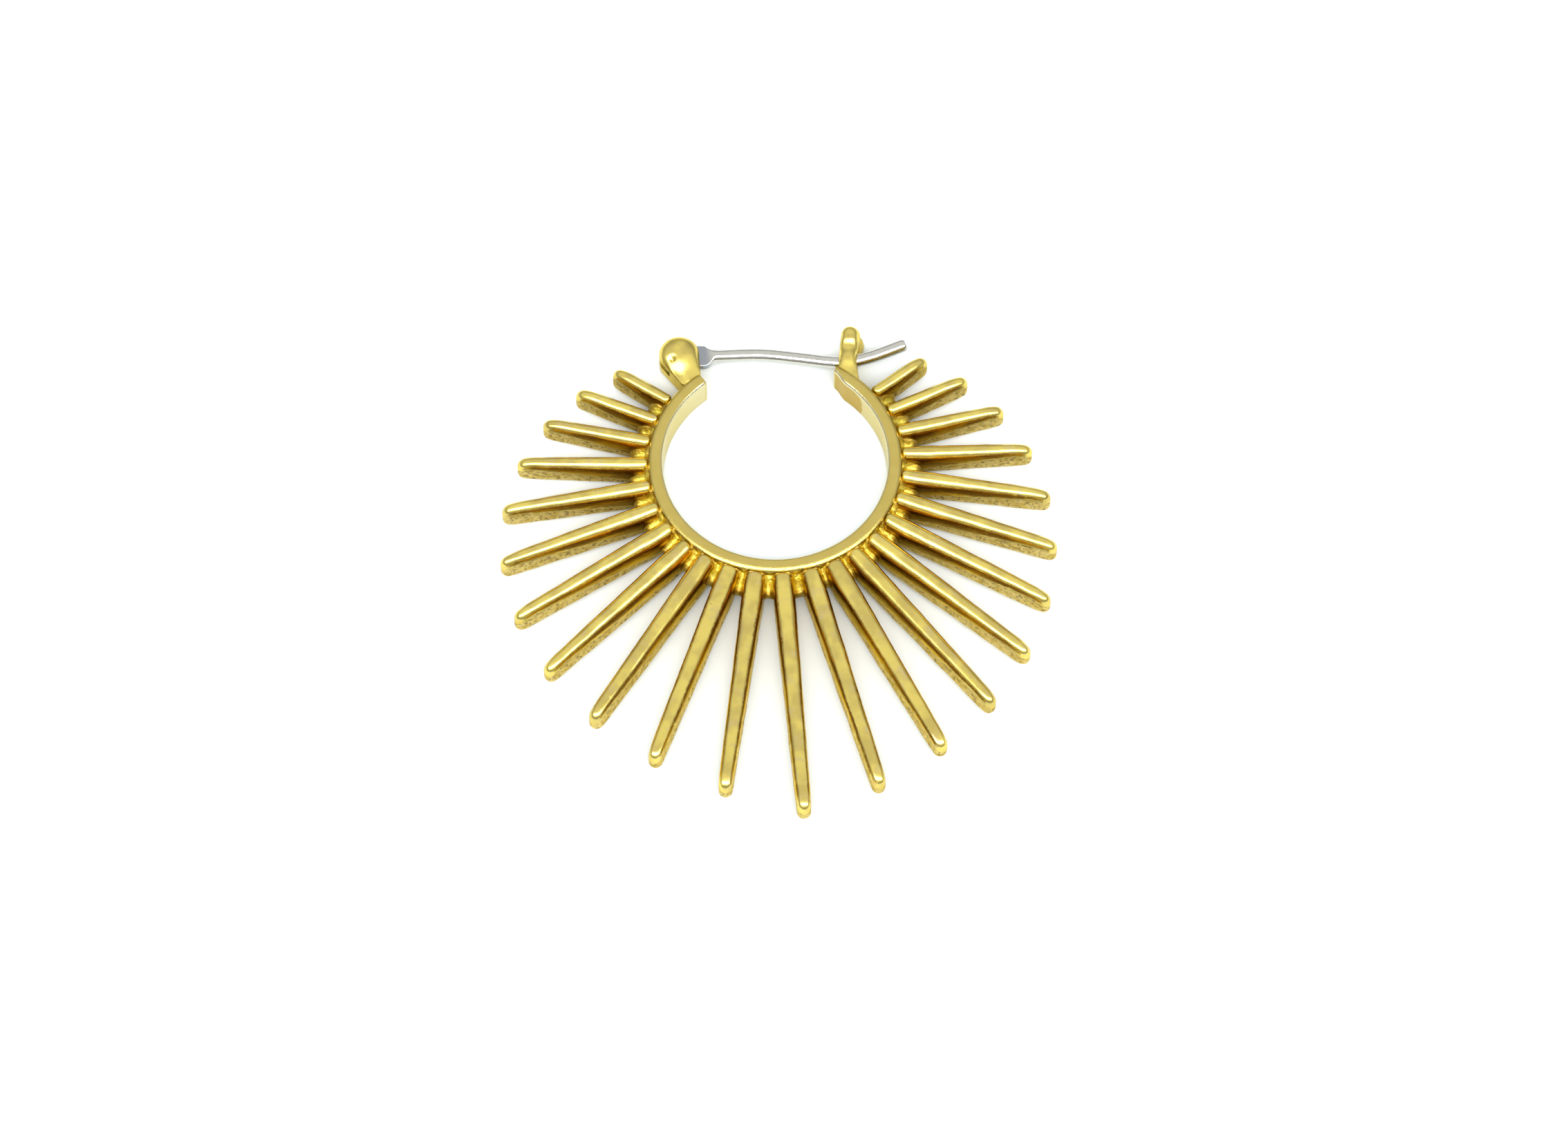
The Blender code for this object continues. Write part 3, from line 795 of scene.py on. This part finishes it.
def make_wire():
    """One rod, hammered flat at the hinge and square-cut at its free end."""
    route = wire_route()
    rings, flat_mask = [], []
    for i, p in enumerate(route):
        ahead = route[min(i + 1, len(route) - 1)]
        behind = route[max(i - 1, 0)]
        along = (ahead - behind).normalized()
        across = Vector((-along.y, along.x))
        to_round = smoothstep(FLAT_END, NECK_END, p.x)
        bevel = 0.88 if i == len(route) - 1 else 1.0
        half_width = wire_half_width(p.x) * bevel
        half_thick = mix(PADDLE_THICKNESS / 2, WIRE_RADIUS, to_round) * bevel
        power = mix(0.22, 1.0, to_round)
        ring = []
        for k in range(ROUND_SIDES):
            a = math.radians(360 * k / ROUND_SIDES + 4.5)
            c, s = math.cos(a), math.sin(a)
            x, y = p + across * (math.copysign(abs(c) ** power, c) * half_width)
            ring.append((x, y, WIRE_LEVEL + math.copysign(abs(s) ** power, s) * half_thick))
        rings.append(ring)
        flat_mask.append([1 - smoothstep(FLAT_END, NECK_END - 0.2, p.x)] * ROUND_SIDES)
    wire = loft("ear_wire_drawn", rings, {"flat": flat_mask}, sharp=45.0)
    bore = rod("paddle_hole", HINGE, PADDLE_HOLE_RADIUS, WIRE_LEVEL - 1, WIRE_LEVEL + 1)
    cut(wire, bore, sharp=45.0)
    finish_piece(wire, steel(), "wire", "steel_wire", "ear_wire")


# ---------------------------------------------------------------- stage

FLOOR_HALF = 3.0
FLOOR_LEVEL = -0.00002
CAMERA_ELEVATION = math.radians(61.85)
CAMERA_DISTANCE = 0.31344
CAMERA_TARGET = place(0.674, -9.328, 2.8)
CAMERA_LENS = 95.24
SOFTBOX_LEVEL = 7.5
DOME_LEVEL = 1.05
GAP_BEHIND = 0.45
GAP_IN_FRONT = 0.35


def make_floor():
    """A plain pale card, in metres, a hair below the object."""
    mesh = bpy.data.meshes.new("floor")
    corners = [(x * FLOOR_HALF, y * FLOOR_HALF, FLOOR_LEVEL) for x, y in ((-1, -1), (1, -1), (1, 1), (-1, 1))]
    mesh.from_pydata(corners, [], [(0, 1, 2, 3)])
    floor = bpy.data.objects.new("floor", mesh)
    bpy.context.scene.collection.objects.link(floor)
    material = bpy.data.materials.new("white_card")
    material.use_nodes = True
    nodes = Nodes(material.node_tree)
    shader = nodes.add("ShaderNodeBsdfPrincipled")
    shader.inputs["Roughness"].default_value = 0.9
    shader.inputs["Specular IOR Level"].default_value = 0.0
    nodes.link(shader.outputs[0], nodes.add("ShaderNodeOutputMaterial").inputs["Surface"])
    fibre = nodes.noise(nodes.millimetres(), 0.6, 2.0)
    nodes.link(nodes.colour(fibre, CARD_DARK, CARD_LIGHT), shader.inputs["Base Color"])
    mesh.materials.append(material)


def make_light():
    """A white tent: a dome that darkens towards the horizon, and a softbox overhead, towards the front."""
    world = bpy.data.worlds.new("tent")
    bpy.context.scene.world = world
    world.use_nodes = True
    nodes = Nodes(world.node_tree)
    direction = nodes.add("ShaderNodeSeparateXYZ")
    nodes.link(nodes.add("ShaderNodeTexCoord").outputs["Generated"], direction.inputs[0])
    x, y, z = direction.outputs
    front = nodes.step(y, 0.1, -0.5)
    gap = nodes.number(front, GAP_BEHIND, GAP_IN_FRONT)
    dome = nodes.number(nodes.step(z, 0.12, 0.75), gap, DOME_LEVEL)
    up = nodes.math("MAXIMUM", z, 0.05)
    side = nodes.math("ABSOLUTE", nodes.math("SUBTRACT", nodes.math("DIVIDE", x, up), 0.15))
    depth = nodes.math("DIVIDE", y, up)
    deep = nodes.math("MULTIPLY", nodes.step(depth, -0.28, -0.42), nodes.step(depth, -1.0, -0.88))
    box = nodes.math("MULTIPLY", nodes.step(side, 1.5, 1.2), deep)
    level = nodes.math("ADD", dome, nodes.math("MULTIPLY", box, SOFTBOX_LEVEL))
    background = nodes.add("ShaderNodeBackground")
    nodes.link(level, background.inputs["Strength"])
    background.inputs["Color"].default_value = rgb(1.0, 1.0, 1.0)
    nodes.link(background.outputs[0], nodes.add("ShaderNodeOutputWorld").inputs["Surface"])


def make_camera():
    """The photographer's place: far off, looking down from the front at a steep angle."""
    camera = bpy.data.objects.new("camera", bpy.data.cameras.new("camera"))
    bpy.context.scene.collection.objects.link(camera)
    camera.data.sensor_width = 36.0
    camera.data.lens = CAMERA_LENS
    camera.data.clip_start = 0.01
    camera.data.clip_end = 10.0
    backwards = Vector((0.0, -math.cos(CAMERA_ELEVATION), math.sin(CAMERA_ELEVATION)))
    camera.location = CAMERA_TARGET + CAMERA_DISTANCE * backwards
    camera.rotation_euler = (math.pi / 2 - CAMERA_ELEVATION, 0.0, 0.0)
    bpy.context.scene.camera = camera


make_band()
ray_gold = ray_metal()
for number in range(1, RAYS + 1):
    make_ray(number, ray_gold)
make_webs()
finding_gold = smooth_gold()
make_knuckle(finding_gold)
make_fork(finding_gold)
make_wire()
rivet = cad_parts["hinge_rivet"]
rivet.data.materials.clear()
rivet.data.materials.append(finding_gold)
make_floor()
make_light()
make_camera()
bpy.context.scene.view_settings.view_transform = "Standard"
